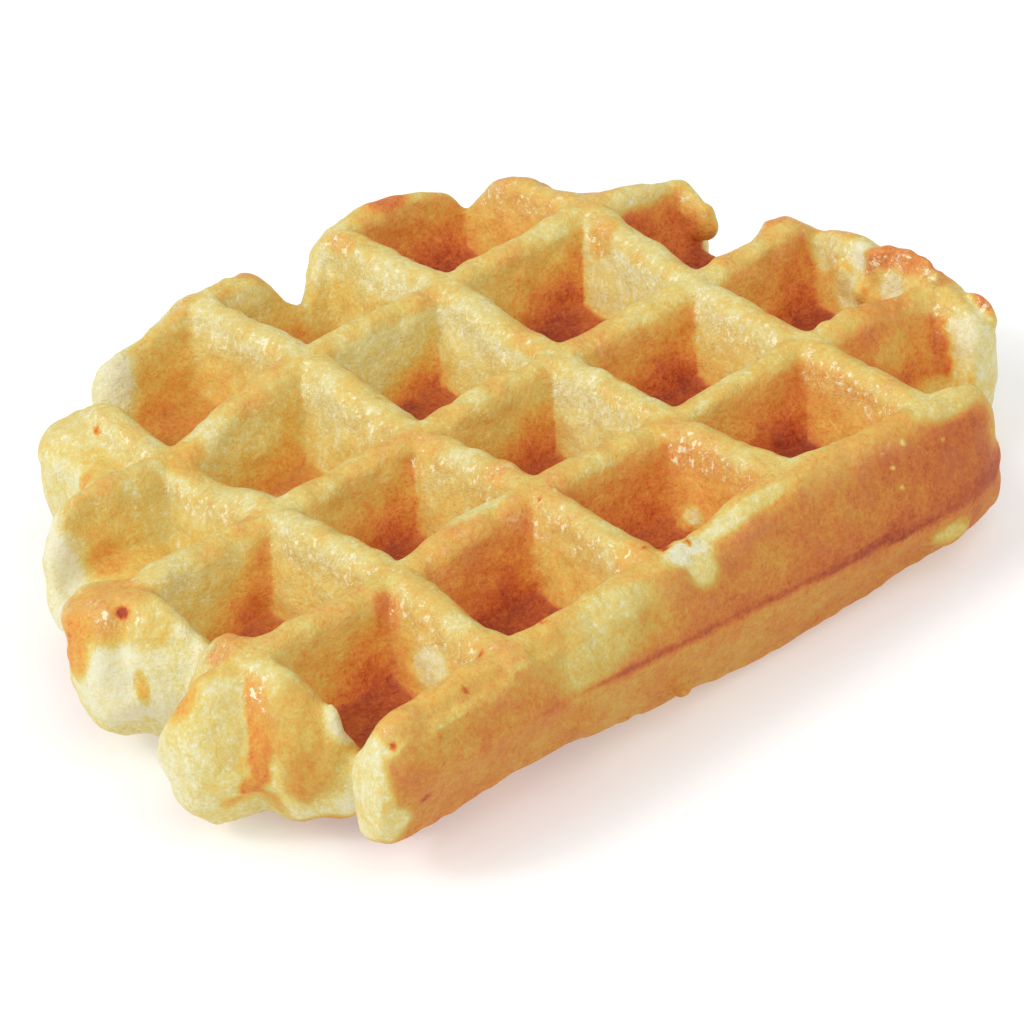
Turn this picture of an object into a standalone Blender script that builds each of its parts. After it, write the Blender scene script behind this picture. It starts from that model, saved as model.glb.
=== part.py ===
"""Liege waffle: one thick piece of yeast dough, baked in an iron with deep square pockets.

The dough never filled the iron, so only its front side is straight, pressed against the iron's side
wall. Everywhere else it ends in free, rounded lobes where the ridges run out.

Plan positions are in pitches of the pocket grid: u runs along the straight side and v away from it,
and ridges lie on the whole numbers. Heights are in pitches too, down from the ridge tops at 0.
"""

import math

import bmesh
import bpy

PITCH = 0.023  # metres from one ridge to the next
THICKNESS = 0.96
TOP_DEPTH = 0.42
BOTTOM_DEPTH = 0.36
RIDGE_HALF = 0.095  # half the width of a ridge at its top
WALL_INSET = 0.175  # how far a pocket wall leans in over its full depth
COLUMNS = range(-1, 4)
ROWS = range(1, 5)
PLAN_CENTRE = (1.3602, 3.0489)  # what becomes the origin

SIDE_V = 0.74  # the straight side at its seam
SIDE_DRAFT = math.radians(21)
SEAM_LEFT = -0.32  # height of the seam at u = 0, and its fall per pitch
SEAM_FALL = -0.055

# Pockets that the dough filled only in part, by (column, row), with their depth.
SHALLOW = {(-1, 3): 0.24, (-1, 4): 0.14}
# No pocket reaches here: the dough ends before the stud.
EMPTY_CELLS = {(3, 4)}

# Crossings of ridges that sit off the even grid: (u, v): (along u, along v, up).
UNEVEN = {
    (-1, 2): (0.07, -0.04, 0.03),
    (0, 4): (-0.03, -0.09, -0.07),
    (0, 2): (0.04, -0.01, 0.02),
    (1, 1): (0.03, 0.00, 0.02),
    (1, 4): (0.02, 0.02, 0.02),
    (2, 1): (0.02, 0.06, 0.05),
    (3, 3): (0.01, -0.05, -0.02),
    (3, 4): (0.10, 0.00, 0.06),
}
UNEVEN_REACH = 0.42

# The dough's edge at its widest, side by side. Each lobe is the end of a ridge.
STRAIGHT_SIDE = [(-0.96, 0.85), (-0.82, 0.76), (-0.6, 0.74), (0.0, 0.73), (1.0, 0.73), (2.0, 0.73), (2.8, 0.73), (3.2, 0.80)]
RIGHT_SIDE = [
    (3.47, 0.96), (3.44, 1.15),
    (3.54, 1.27), (3.82, 1.42), (4.06, 1.61), (4.20, 1.82), (4.22, 2.10), (4.20, 2.42), (4.16, 2.72),
    (4.04, 2.95), (3.96, 3.14), (3.84, 3.28), (3.62, 3.24), (3.42, 3.24), (3.50, 3.38),
]
BACK_SIDE = [
    (3.68, 3.54), (3.80, 3.72), (3.90, 3.90), (3.80, 4.06), (3.64, 4.16), (3.48, 4.28), (3.32, 4.40),
    (3.38, 4.62), (3.23, 4.81), (3.04, 4.88), (2.90, 4.86),
    (2.85, 4.98), (2.67, 5.10), (2.50, 5.31), (2.18, 5.33), (1.95, 5.24), (1.80, 5.12), (1.71, 4.98),
    (1.61, 4.87), (1.52, 4.94), (1.55, 5.20), (1.40, 5.36), (1.12, 5.37), (0.84, 5.33), (0.58, 5.22),
    (0.36, 5.12), (0.20, 5.00),
]
LEFT_SIDE = [
    (0.08, 4.82), (-0.11, 4.80), (-0.39, 4.76), (-0.51, 4.54), (-0.56, 4.34),
    (-0.62, 4.14), (-0.83, 4.08), (-0.96, 3.90), (-0.98, 3.66), (-1.06, 3.44),
    (-1.26, 3.26), (-1.34, 3.00), (-1.30, 2.76), (-1.14, 2.60), (-1.00, 2.46),
    (-1.20, 2.37), (-1.43, 2.22), (-1.50, 1.96), (-1.40, 1.78), (-1.22, 1.66), (-1.13, 1.50),
    (-0.96, 1.38), (-0.85, 1.27), (-0.95, 1.16), (-1.01, 1.00),
]
STEPS_PER_SPAN = 2

# The rounded edge of the dough: height, and how far it lies in from the widest line.
EDGE_PROFILE = [
    (0.00, 0.28), (-0.03, 0.20), (-0.10, 0.12), (-0.22, 0.055), (-0.44, 0.02),
    (-0.70, 0.04), (-0.84, 0.11), (-0.92, 0.18), (-THICKNESS, 0.27),
]
SIDE_INSET_SHARE = 0.6  # the straight side's rims are less round than the free edges
THIN_INSET_SHARE = 0.35  # and its thin left end less still
SEAM_RING = 4  # the profile's ring that follows the seam along the straight side


def smooth_step(low, high, x):
    t = min(max((x - low) / (high - low), 0.0), 1.0)
    return t * t * (3 - 2 * t)


def to_metres(u, v, z):
    return ((u - PLAN_CENTRE[0]) * PITCH, (v - PLAN_CENTRE[1]) * PITCH, (z + THICKNESS) * PITCH)


def closed_curve(points, steps):
    """A smooth closed curve through the points."""
    curve = []
    count = len(points)
    for i in range(count):
        a, b, c, d = (points[(i + k) % count] for k in (-1, 0, 1, 2))
        for step in range(steps):
            t = step / steps
            curve.append(tuple(
                0.5 * (2 * q + (r - p) * t + (2 * p - 5 * q + 4 * r - s) * t**2 + (3 * q - p - 3 * r + s) * t**3)
                for p, q, r, s in zip(a, b, c, d)
            ))
    return curve


def inward_directions(curve, reach=3):
    """The direction into the dough at each point, evened out over its neighbours."""
    count = len(curve)
    directions = []
    for i in range(count):
        before = curve[(i - reach) % count]
        after = curve[(i + reach) % count]
        du, dv = after[0] - before[0], after[1] - before[1]
        length = math.hypot(du, dv)
        directions.append((-dv / length, du / length))
    return directions


def seam_height(u):
    return SEAM_LEFT + SEAM_FALL * u


def edge_ring(curve, directions, index):
    """One level line of the dough's side."""
    height, inset = EDGE_PROFILE[index]
    ring = []
    for (u, v), (du, dv) in zip(curve, directions):
        least = THIN_INSET_SHARE + (SIDE_INSET_SHARE - THIN_INSET_SHARE) * smooth_step(-0.9, -0.3, u)
        free = smooth_step(1.15, 1.5, v) if u < 0 else smooth_step(0.75, 1.0, v)
        share = least + (1 - least) * free
        u, v = u + du * inset * share, v + dv * inset * share
        z = height
        if index == SEAM_RING:
            z += (seam_height(u) - height) * smooth_step(1.2, 0.85, v)
        wall = SIDE_V + abs(z - seam_height(u)) * math.tan(SIDE_DRAFT)
        ring.append((u, max(v, wall), z))
    return ring


def mesh_object(name, bm):
    mesh = bpy.data.meshes.new(name)
    bmesh.ops.recalc_face_normals(bm, faces=bm.faces)
    bm.to_mesh(mesh)
    bm.free()
    obj = bpy.data.objects.new(name, mesh)
    bpy.context.collection.objects.link(obj)
    return obj


def add_stack(bm, rings):
    """A closed body through a stack of rings with equal numbers of points."""
    loops = [[bm.verts.new(to_metres(*point)) for point in ring] for ring in rings]
    for lower, upper in zip(loops, loops[1:]):
        for i in range(len(lower)):
            j = (i + 1) % len(lower)
            bm.faces.new((lower[i], lower[j], upper[j], upper[i]))
    bm.faces.new(loops[0])
    bm.faces.new(reversed(loops[-1]))


def dough():
    """The dough before the pockets are pressed in."""
    curve = closed_curve(STRAIGHT_SIDE + RIGHT_SIDE + BACK_SIDE + LEFT_SIDE, STEPS_PER_SPAN)
    directions = inward_directions(curve)
    bm = bmesh.new()
    add_stack(bm, [edge_ring(curve, directions, i) for i in range(len(EDGE_PROFILE))])
    return mesh_object("waffle", bm)


def crossing(i, j):
    du, dv, _ = UNEVEN.get((i, j), (0, 0, 0))
    return i + du, j + dv


def cell_point(column, row, s, t):
    """A point of a cell of the grid, with s and t running from 0 to 1 across it."""
    near, right = crossing(column, row), crossing(column + 1, row)
    left, far = crossing(column, row + 1), crossing(column + 1, row + 1)
    return tuple(
        (1 - s) * (1 - t) * near[k] + s * (1 - t) * right[k] + (1 - s) * t * left[k] + s * t * far[k]
        for k in (0, 1)
    )


def stud_ring(column, row, inset, corner, arc, z):
    """A square with round corners, this far in from the ridge lines."""
    ring = []
    centre = inset + corner
    for quarter, (s, t) in enumerate(((1 - centre, 1 - centre), (centre, 1 - centre), (centre, centre), (1 - centre, centre))):
        for k in range(arc + 1):
            angle = math.pi / 2 * (quarter + k / arc)
            ring.append((*cell_point(column, row, s + corner * math.cos(angle), t + corner * math.sin(angle)), z))
    return ring


def studs(name, depth, surface, sense, arc):
    """The iron's studs on one side. The surface is that side's ridge tops, and sense is +1 above."""
    bm = bmesh.new()
    for column in COLUMNS:
        for row in ROWS:
            if (column, row) in EMPTY_CELLS:
                continue
            deep = depth * SHALLOW.get((column, row), TOP_DEPTH) / TOP_DEPTH
            foot = RIDGE_HALF + WALL_INSET * (1 - 0.07 / deep)
            levels = (
                (0.05, RIDGE_HALF - 0.06, 0.05),
                (-0.04, RIDGE_HALF, 0.06),
                (0.07 - deep, foot, 0.09),
                (-deep, foot + 0.07, 0.07),
            )
            add_stack(bm, [
                stud_ring(column, row, inset, corner, arc, surface + sense * z)
                for z, inset, corner in levels
            ])
    return mesh_object(name, bm)


def underside_gap():
    """What the dough doesn't fill below its straight side, most at the left."""
    bm = bmesh.new()
    below = -THICKNESS - 0.3
    rings = []
    for u, rise in ((-1.6, 0.38), (-0.9, 0.30), (0.0, 0.24), (0.7, 0.18), (1.3, 0.09), (2.1, -0.02)):
        bottom = -THICKNESS + rise
        rings.append([
            (u, 0.3, below), (u, 2.0, below), (u, 1.65, -THICKNESS - 0.02),
            (u, 1.30, bottom - 0.5 * max(rise, 0.0)), (u, 1.00, bottom), (u, 0.80, bottom + 0.12), (u, 0.3, bottom + 0.3),
        ])
    add_stack(bm, rings)
    return mesh_object("underside_gap", bm)


def cut(obj, cutter):
    cutter.hide_render = True
    cutter.display_type = "WIRE"
    modifier = obj.modifiers.new(cutter.name, "BOOLEAN")
    modifier.operation = "DIFFERENCE"
    modifier.solver = "EXACT"
    modifier.object = cutter


def rise_of(u, v):
    return sum(
        up * math.exp(-((u - i) ** 2 + (v - j) ** 2) / (2 * UNEVEN_REACH**2))
        for (i, j), (_, _, up) in UNEVEN.items()
    )


def bake_in_unevenness(obj):
    """Lets the upper side rise and sink a little from crossing to crossing."""
    baked = bpy.data.meshes.new_from_object(obj.evaluated_get(bpy.context.evaluated_depsgraph_get()))
    bm = bmesh.new()
    bm.from_mesh(baked)
    bmesh.ops.triangulate(bm, faces=bm.faces)
    for vert in bm.verts:
        u = vert.co.x / PITCH + PLAN_CENTRE[0]
        v = vert.co.y / PITCH + PLAN_CENTRE[1]
        share = smooth_step(0.45, 0.9, vert.co.z / PITCH / THICKNESS)
        vert.co.z += share * rise_of(u, v) * PITCH
    bm.to_mesh(baked)
    bm.free()
    obj.modifiers.clear()
    obj.data = baked


def crust():
    material = bpy.data.materials.new("crust")
    material.use_nodes = True
    shader = material.node_tree.nodes["Principled BSDF"]
    shader.inputs["Base Color"].default_value = (0.68, 0.40, 0.12, 1)
    shader.inputs["Roughness"].default_value = 0.55
    shader.inputs["Metallic"].default_value = 0.0
    return material


def build():
    for obj in list(bpy.data.objects):
        bpy.data.objects.remove(obj)
    waffle = dough()
    cut(waffle, studs("upper_studs", TOP_DEPTH, 0.0, 1, 3))
    cut(waffle, studs("lower_studs", BOTTOM_DEPTH, -THICKNESS, -1, 2))
    cut(waffle, underside_gap())
    bake_in_unevenness(waffle)
    waffle.data.materials.clear()
    waffle.data.materials.append(crust())
    waffle.data.shade_smooth()
    waffle.data.set_sharp_from_angle(angle=math.radians(30))


build()
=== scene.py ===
"""Looks of the liege waffle: the surface of the dough, its browning and sugar, the light and the camera.

Plan positions are in pitches of the pocket grid, as in the CAD: u along the straight side, v away from
it, ridges on the whole numbers. Heights are in pitches down from the ridge tops.
"""

import math

import bpy
import numpy as np
from mathutils import Matrix, Vector


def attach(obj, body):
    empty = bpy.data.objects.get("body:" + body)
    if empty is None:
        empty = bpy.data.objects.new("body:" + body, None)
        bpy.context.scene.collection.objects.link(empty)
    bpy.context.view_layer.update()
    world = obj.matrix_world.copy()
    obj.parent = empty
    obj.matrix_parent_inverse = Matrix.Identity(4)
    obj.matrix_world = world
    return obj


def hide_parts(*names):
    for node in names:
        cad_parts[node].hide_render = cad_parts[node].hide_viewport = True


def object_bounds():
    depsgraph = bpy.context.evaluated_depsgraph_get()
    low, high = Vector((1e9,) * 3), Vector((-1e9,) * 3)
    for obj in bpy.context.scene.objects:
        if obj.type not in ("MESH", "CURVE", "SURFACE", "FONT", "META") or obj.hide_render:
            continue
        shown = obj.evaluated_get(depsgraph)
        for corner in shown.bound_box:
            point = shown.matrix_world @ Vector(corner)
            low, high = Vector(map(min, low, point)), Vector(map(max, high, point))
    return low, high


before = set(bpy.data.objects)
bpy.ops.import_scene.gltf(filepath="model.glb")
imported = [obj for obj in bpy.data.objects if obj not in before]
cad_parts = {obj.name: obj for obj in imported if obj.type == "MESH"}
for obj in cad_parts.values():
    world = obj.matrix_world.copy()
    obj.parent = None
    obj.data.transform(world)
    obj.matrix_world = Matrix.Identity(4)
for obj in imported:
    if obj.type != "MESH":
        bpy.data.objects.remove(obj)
CAD_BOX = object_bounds()

# ---------------------------------------------------------------- sizes, in pitches but for the pitch
PITCH = 0.023  # metres from one ridge to the next
THICKNESS = 0.96
PLAN_CENTRE = (1.3602, 3.0489)
TOP_DEPTH = 0.42
BOTTOM_DEPTH = 0.36
RIDGE_HALF = 0.095  # half the width of a ridge at its top
WALL_INSET = 0.175  # how far a pocket wall leans in over its full depth
SIDE_V = 0.74  # the straight side at its seam
SIDE_DRAFT = math.radians(21)
SEAM_LEFT = -0.27  # height of the seam at u = 0
SEAM_FALL = -0.085  # and its fall per pitch
MIDDLE = -0.46  # height where the free edges bulge the most
LEAN = math.atan2(WALL_INSET, TOP_DEPTH)
RIDGE_LIFT = 0.024  # the ridges' middles stand this much higher
RIDGE_CROWN = 0.036  # and fall this much towards their edges
STEP = 0.0237  # size of a cell of the grid that the surface is found on
SEARCH_BOX = ((-1.75, 0.55, -THICKNESS - 0.09), (4.45, 5.6, 0.17))
PARTED_AT = -0.54  # height where the upper piece meets the lower one

# How softly the faces that bound the dough run into each other.
FLAT_BLEND = 0.03
FREE_BLEND = 0.14
RIM_BLEND = 0.06
FOOT_BLEND = 0.05
LUMP_BLEND = 0.05

# How far the dough strays from its even shape.
OUTLINE_WAVER = 0.018
OUTLINE_TRIM = 0.022  # taken off the outline all along the back
GRID_WAVER = 0.014
TOP_WAVER = 0.012
WALL_WAVER = 0.016
FREE_WAVER = 0.03
SKIN_LUMPS = [(0.012, 0.26, 31), (0.010, 0.12, 32), (0.008, 0.065, 33)]  # (height, size, seed)

# The pocket grid. The pockets of its first column run out over the lobes at the left.
COLUMNS = range(-2, 4)
ROWS = range(1, 5)
EMPTY_CELLS = {(3, 4), (-2, 4)}
# Pockets that aren't as deep as the others: (column, row): depth.
SHALLOW = {(-1, 3): 0.34, (-2, 3): 0.34, (-1, 4): 0.11, (-2, 1): 0.38, (-2, 2): 0.38}
# The ridge between the two left cells of row 3 never filled, so they're one.
JOINED = (-1, 3)

# Places where the ridge tops dip: (u, v, reach, fall).
DIPS = [
    (0.0, 3.60, 0.22, 0.10), (4.05, 1.55, 0.36, 0.16), (3.85, 1.95, 0.20, 0.08), (-1.0, 1.30, 0.13, 0.16),
    (1.42, 0.98, 0.15, 0.07), (1.66, 4.95, 0.18, 0.06), (-0.98, 2.46, 0.12, 0.24), (-1.15, 3.5, 0.26, 0.22),
]

# Crossings off the even grid: (u, v): (along u, along v, up).
UNEVEN = {
    (-1, 2): (0.07, -0.04, 0.03), (0, 4): (-0.03, -0.09, -0.07), (0, 2): (0.04, -0.015, 0.02),
    (1, 1): (0.03, 0.0, 0.02), (1, 4): (0.02, 0.02, 0.02), (2, 1): (0.02, 0.06, 0.05),
    (3, 3): (0.01, -0.05, -0.02), (3, 4): (0.10, 0.0, 0.035), (0, 3): (-0.01, -0.02, -0.02),
    (1, 3): (-0.01, -0.02, -0.02), (2, 3): (0.0, -0.02, -0.015), (2, 4): (0.015, 0.015, 0.02),
    (1, 2): (0.025, 0.0, 0.02),
}
UNEVEN_REACH = 0.42

# Places where the underside stands clear of the plate: (u, v, reach, height).
UNDERSIDE_RISES = [
    (2.95, 0.8, 0.55, 0.12), (1.25, 0.8, 0.28, 0.045), (0.0, 0.8, 0.28, 0.05), (-1.25, 1.95, 0.33, 0.08),
    (-1.25, 2.9, 0.35, 0.13), (-0.95, 3.75, 0.35, 0.24), (-0.98, 1.45, 0.16, 0.12), (-0.35, 4.6, 0.3, 0.16),
]

# The edge of the dough in plan, anticlockwise from the left end of the straight side.
OUTLINE = [
    (-0.97, 0.84), (-0.6, 0.735), (0.0, 0.73), (1.0, 0.73), (2.0, 0.73), (2.8, 0.735), (3.2, 0.80),
    (3.44, 0.95), (3.42, 1.13),
    (3.52, 1.28), (3.80, 1.46), (4.07, 1.63), (4.175, 1.82), (4.185, 2.10), (4.165, 2.42), (4.14, 2.70),
    (4.04, 2.93), (3.97, 3.14), (3.86, 3.34), (3.64, 3.36), (3.46, 3.31), (3.52, 3.42),
    (3.74, 3.51), (3.81, 3.70), (3.90, 3.88), (3.80, 4.03), (3.64, 4.13), (3.48, 4.26), (3.33, 4.37),
    (3.36, 4.58), (3.22, 4.76), (3.06, 4.85), (2.94, 4.90),
    (2.87, 5.01), (2.68, 5.12), (2.48, 5.25), (2.18, 5.28), (1.96, 5.21), (1.82, 5.14), (1.75, 5.04),
    (1.62, 4.93), (1.56, 4.98), (1.58, 5.16), (1.40, 5.27), (1.12, 5.27), (0.84, 5.25), (0.58, 5.15),
    (0.36, 5.10), (0.17, 5.03),
    (0.10, 4.79), (-0.07, 4.77), (-0.22, 4.86), (-0.37, 4.76), (-0.40, 4.56), (-0.38, 4.36),
    (-0.52, 4.14), (-0.76, 4.05), (-0.97, 3.86), (-1.05, 3.62), (-1.12, 3.45),
    (-1.30, 3.26), (-1.38, 2.98), (-1.34, 2.74), (-1.15, 2.60), (-1.00, 2.46),
    (-1.20, 2.37), (-1.43, 2.22), (-1.475, 1.96), (-1.39, 1.78), (-1.22, 1.66), (-1.13, 1.50),
    (-0.95, 1.38), (-0.84, 1.26), (-0.98, 1.13), (-1.02, 0.97),
]

# ---------------------------------------------------------------- shades
# A shade runs from 0, bare cream dough, to 1, almost burnt.
# A pocket has those of its far wall, right wall and darkest corner, and how deep that corner begins.
POCKET_TONES = (0.50, 0.26, 0.85, 0.0)
# The same for each pocket on its own: (column, row): (far wall, right wall, corner, start).
CELL_TONES = {
    (-1, 1): (0.42, 0.34, 0.82, 0.0), (0, 1): (0.64, 0.33, 0.84, 0.0), (1, 1): (0.60, 0.48, 0.84, 0.0),
    (2, 1): (0.58, 0.42, 0.91, 0.0), (3, 1): (0.60, 0.12, 0.76, 0.1),
    (-1, 2): (0.25, 0.19, 0.80, 0.0), (0, 2): (0.44, 0.23, 0.82, 0.0), (1, 2): (0.38, 0.14, 0.86, 0.35),
    (2, 2): (0.55, 0.19, 0.92, 0.1), (3, 2): (0.62, 0.31, 0.88, 0.2),
    (-1, 3): (0.34, 0.24, 0.32, 0.3), (0, 3): (0.36, 0.18, 0.56, 0.1), (1, 3): (0.20, 0.10, 0.80, 0.45),
    (2, 3): (0.47, 0.11, 0.90, 0.15), (3, 3): (0.60, 0.34, 0.86, 0.1),
    (-1, 4): (0.26, 0.24, 0.28, 0.3), (0, 4): (0.40, 0.24, 0.54, 0.2), (1, 4): (0.28, 0.18, 0.48, 0.35),
    (2, 4): (0.62, 0.42, 0.93, 0.0),
    (-2, 1): (0.10, 0.50, 0.20, 0.5), (-2, 2): (0.10, 0.14, 0.24, 0.5), (-2, 3): (0.18, 0.18, 0.22, 0.5),
}
# Places browned more or less than the rest: (u, v, height, reach along u, v and height, shade).
LOCAL_TONES = [
    (-1.28, 2.78, -0.42, 0.20, 0.20, 0.30, 0.03),  # bare side of the left lobe
    (-1.14, 2.98, -0.06, 0.24, 0.19, 0.14, 0.48),  # its brown cap
    (-1.06, 2.70, -0.10, 0.12, 0.10, 0.10, 0.24),
    (-1.36, 3.06, -0.22, 0.10, 0.14, 0.17, 0.52),
    (-1.18, 2.68, -0.40, 0.03, 0.04, 0.11, 0.34),  # its groove
    (-1.20, 2.85, -0.80, 0.34, 0.40, 0.15, 0.12),
    (-0.98, 2.12, 0.00, 0.20, 0.12, 0.08, 0.52),  # cap of the front lobe
    (-0.94, 2.52, -0.12, 0.08, 0.10, 0.12, 0.10),
    (-1.32, 2.05, -0.06, 0.10, 0.08, 0.12, 0.40),
    (-0.95, 1.46, -0.22, 0.20, 0.18, 0.36, 0.34),  # its pressed face
    (-1.04, 1.46, -0.46, 0.09, 0.10, 0.14, 0.44),
    (-1.09, 1.69, -0.16, 0.05, 0.05, 0.08, 0.50),  # its groove
    (-1.14, 1.64, -0.30, 0.05, 0.05, 0.09, 0.58),
    (-1.18, 1.65, -0.43, 0.05, 0.05, 0.08, 0.62),
    (-1.23, 1.69, -0.54, 0.06, 0.05, 0.07, 0.58),
    (-1.20, 1.72, -0.68, 0.10, 0.08, 0.09, 0.30),
    (-1.22, 1.86, -0.80, 0.24, 0.28, 0.14, 0.12),
    (0.24, 4.90, -0.16, 0.18, 0.15, 0.28, 0.04),  # bare rim at the back left
    (0.04, 3.85, -0.08, 0.12, 0.14, 0.08, 0.40),
    (1.66, 4.80, -0.30, 0.10, 0.10, 0.14, 0.22),
    (1.80, 4.95, -0.14, 0.10, 0.12, 0.16, 0.10),
    (1.94, 4.83, -0.06, 0.045, 0.12, 0.16, 0.44),
    (-0.98, 3.74, -0.32, 0.22, 0.34, 0.26, 0.03),  # cream rim of the shallow pocket
    (-0.72, 2.98, 0.01, 0.16, 0.12, 0.10, 0.16),
    (-0.64, 3.72, -0.36, 0.10, 0.09, 0.08, 0.46),  # its golden floor
    (-0.45, 4.28, -0.22, 0.12, 0.07, 0.10, 0.48),
    (-0.22, 4.66, -0.10, 0.20, 0.16, 0.12, 0.16),
    (4.07, 1.55, -0.20, 0.24, 0.36, 0.34, 0.09),  # puffed dough with no ridge
    (4.10, 1.50, -0.40, 0.26, 0.50, 0.40, 0.08),
    (3.60, 1.99, -0.03, 0.28, 0.08, 0.08, 0.56),
    (3.32, 1.92, -0.12, 0.17, 0.09, 0.08, 0.66),
    (3.50, 1.85, -0.26, 0.14, 0.11, 0.09, 0.42),
    (3.89, 1.95, -0.13, 0.06, 0.07, 0.08, 0.72),
    (3.86, 1.87, -0.22, 0.06, 0.07, 0.08, 0.74),
    (3.81, 1.80, -0.33, 0.06, 0.07, 0.08, 0.74),
    (3.78, 1.74, -0.44, 0.05, 0.06, 0.06, 0.72),
    (3.96, 1.90, -0.12, 0.16, 0.16, 0.10, 0.30),
    (3.38, 0.98, -0.16, 0.14, 0.14, 0.24, 0.34),
    (0.50, 0.86, -0.12, 0.42, 0.16, 0.17, 0.40),  # pale stretch of the straight side
    (0.64, 0.92, -0.03, 0.25, 0.12, 0.08, 0.20),
    (0.44, 0.84, -0.15, 0.23, 0.10, 0.10, 0.22),
    (0.33, 0.78, -0.25, 0.15, 0.10, 0.09, 0.27),
    (-0.60, 1.00, 0.02, 0.30, 0.16, 0.07, 0.42),
    (-0.94, 0.86, -0.52, 0.10, 0.12, 0.14, 0.12),  # bare corner of the left end
    (-0.17, 1.46, -0.22, 0.06, 0.13, 0.13, 0.06),  # pale patch on a wall
    (-0.13, 1.86, -0.10, 0.07, 0.08, 0.12, 0.66),
    (3.05, 0.82, -0.20, 0.30, 0.16, 0.18, 0.74),  # reddish end of the straight side
    (2.58, 0.86, -0.14, 0.08, 0.08, 0.10, 0.74),
    (3.14, 1.02, -0.01, 0.26, 0.13, 0.09, 0.16),
    (2.40, 1.01, 0.03, 0.42, 0.08, 0.06, 0.46),
    (3.00, 1.02, 0.02, 0.12, 0.06, 0.05, 0.16),
    (0.98, 1.14, 0.01, 0.18, 0.10, 0.07, 0.44),
    (1.22, 0.97, 0.00, 0.14, 0.09, 0.09, 0.02),  # pale scoop in the rim
    (1.50, 1.00, 0.03, 0.24, 0.06, 0.06, 0.07),
    (1.78, 1.00, 0.04, 0.18, 0.05, 0.05, 0.14),
    (1.23, 0.88, -0.08, 0.09, 0.07, 0.10, 0.14),
    (2.26, 0.76, -0.455, 0.26, 0.08, 0.028, 0.92),  # burnt along the seam
    (2.56, 0.76, -0.50, 0.14, 0.08, 0.022, 0.90),
    (2.88, 0.77, -0.485, 0.24, 0.08, 0.028, 0.86),
    (2.88, 0.79, -0.66, 0.13, 0.08, 0.06, 0.22),  # dough squeezed out below the seam
    (3.50, 3.90, 0.00, 0.30, 0.10, 0.07, 0.13),  # pale rim of the last pocket at the back
    (3.82, 3.72, -0.22, 0.10, 0.26, 0.30, 0.14),
    (3.56, 3.76, -0.28, 0.10, 0.18, 0.14, 0.74),
    (3.30, 3.84, -0.20, 0.16, 0.14, 0.13, 0.80),
    (3.00, 3.72, -0.02, 0.14, 0.10, 0.10, 0.44),  # golden rim beside it
    (3.96, 2.28, -0.02, 0.12, 0.18, 0.07, 0.68),  # burnt sugar along the right edge
    (4.05, 2.08, -0.08, 0.08, 0.14, 0.05, 0.60),
    (4.05, 2.28, -0.06, 0.04, 0.22, 0.06, 0.92),
    (3.89, 2.42, -0.09, 0.06, 0.06, 0.08, 0.84),
    (4.11, 1.72, -0.16, 0.05, 0.09, 0.08, 0.74),  # loose flake
    (3.86, 2.74, -0.14, 0.06, 0.14, 0.16, 0.12),
    (3.80, 2.52, -0.28, 0.07, 0.10, 0.14, 0.10),
    (3.20, 4.62, -0.02, 0.26, 0.20, 0.08, 0.46),  # end of the ridge at the back
    (3.06, 4.78, -0.16, 0.10, 0.10, 0.12, 0.60),
    (3.74, 3.12, 0.02, 0.13, 0.10, 0.08, 0.60),  # knob at the back
    (2.40, 5.00, 0.00, 0.16, 0.10, 0.07, 0.76),
    (1.42, 5.02, -0.02, 0.12, 0.12, 0.08, 0.50),
    (3.92, 2.50, -0.14, 0.08, 0.12, 0.14, 0.03),  # torn crumb
    (3.88, 2.22, -0.20, 0.08, 0.08, 0.12, 0.05),
    (-0.82, 1.40, -0.22, 0.08, 0.07, 0.18, 0.04),
    (0.70, 2.07, 0.04, 0.20, 0.06, 0.06, 0.10),  # torn flap
    (1.75, 1.57, -0.33, 0.05, 0.07, 0.05, 0.14),  # melted lump of sugar
]
CORNER_SPREAD = 0.36  # how far the dark corner reaches over the floor
# The dark line along the seam is partly browned crust and partly painted shadow of the crease there.
SEAM_BURN_AND_SHADOW_TONE = 0.92
SEAM_HALF = 0.025  # half the width of the dark line along the seam
CRUST_LEAST = 0.13  # shade of the palest pressed crust
# Small spots, burnt or of sugar: (u, v, height, reach, shade).
SPOTS = [
    (-1.11, 2.86, -0.04, 0.036, 1.0), (-0.13, 4.45, -0.09, 0.024, 0.9), (-1.32, 3.06, -0.16, 0.022, 0.85),
    (-0.84, 0.90, -0.07, 0.020, 0.9), (-0.74, 0.83, -0.42, 0.028, 0.9), (-0.34, 0.93, -0.01, 0.020, 0.85),
    (-0.09, 1.10, -0.01, 0.022, 0.85), (0.97, 1.89, 0.05, 0.017, 0.85), (1.15, 1.07, 0.01, 0.030, 0.95),
    (1.06, 1.13, 0.03, 0.020, 0.9), (1.27, 1.03, 0.01, 0.022, 0.9),
    (2.72, 0.92, -0.06, 0.020, 0.05), (2.60, 0.87, -0.14, 0.012, 0.1), (2.62, 0.84, -0.27, 0.013, 0.1),
    (2.98, 0.87, -0.15, 0.012, 0.1), (1.16, 3.84, -0.03, 0.014, 0.7), (1.10, 3.72, 0.02, 0.014, 0.7),
    (0.28, 1.04, 0.02, 0.020, 0.8), (2.20, 2.96, 0.02, 0.016, 0.8), (1.62, 2.04, 0.0, 0.016, 0.75),
]
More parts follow.
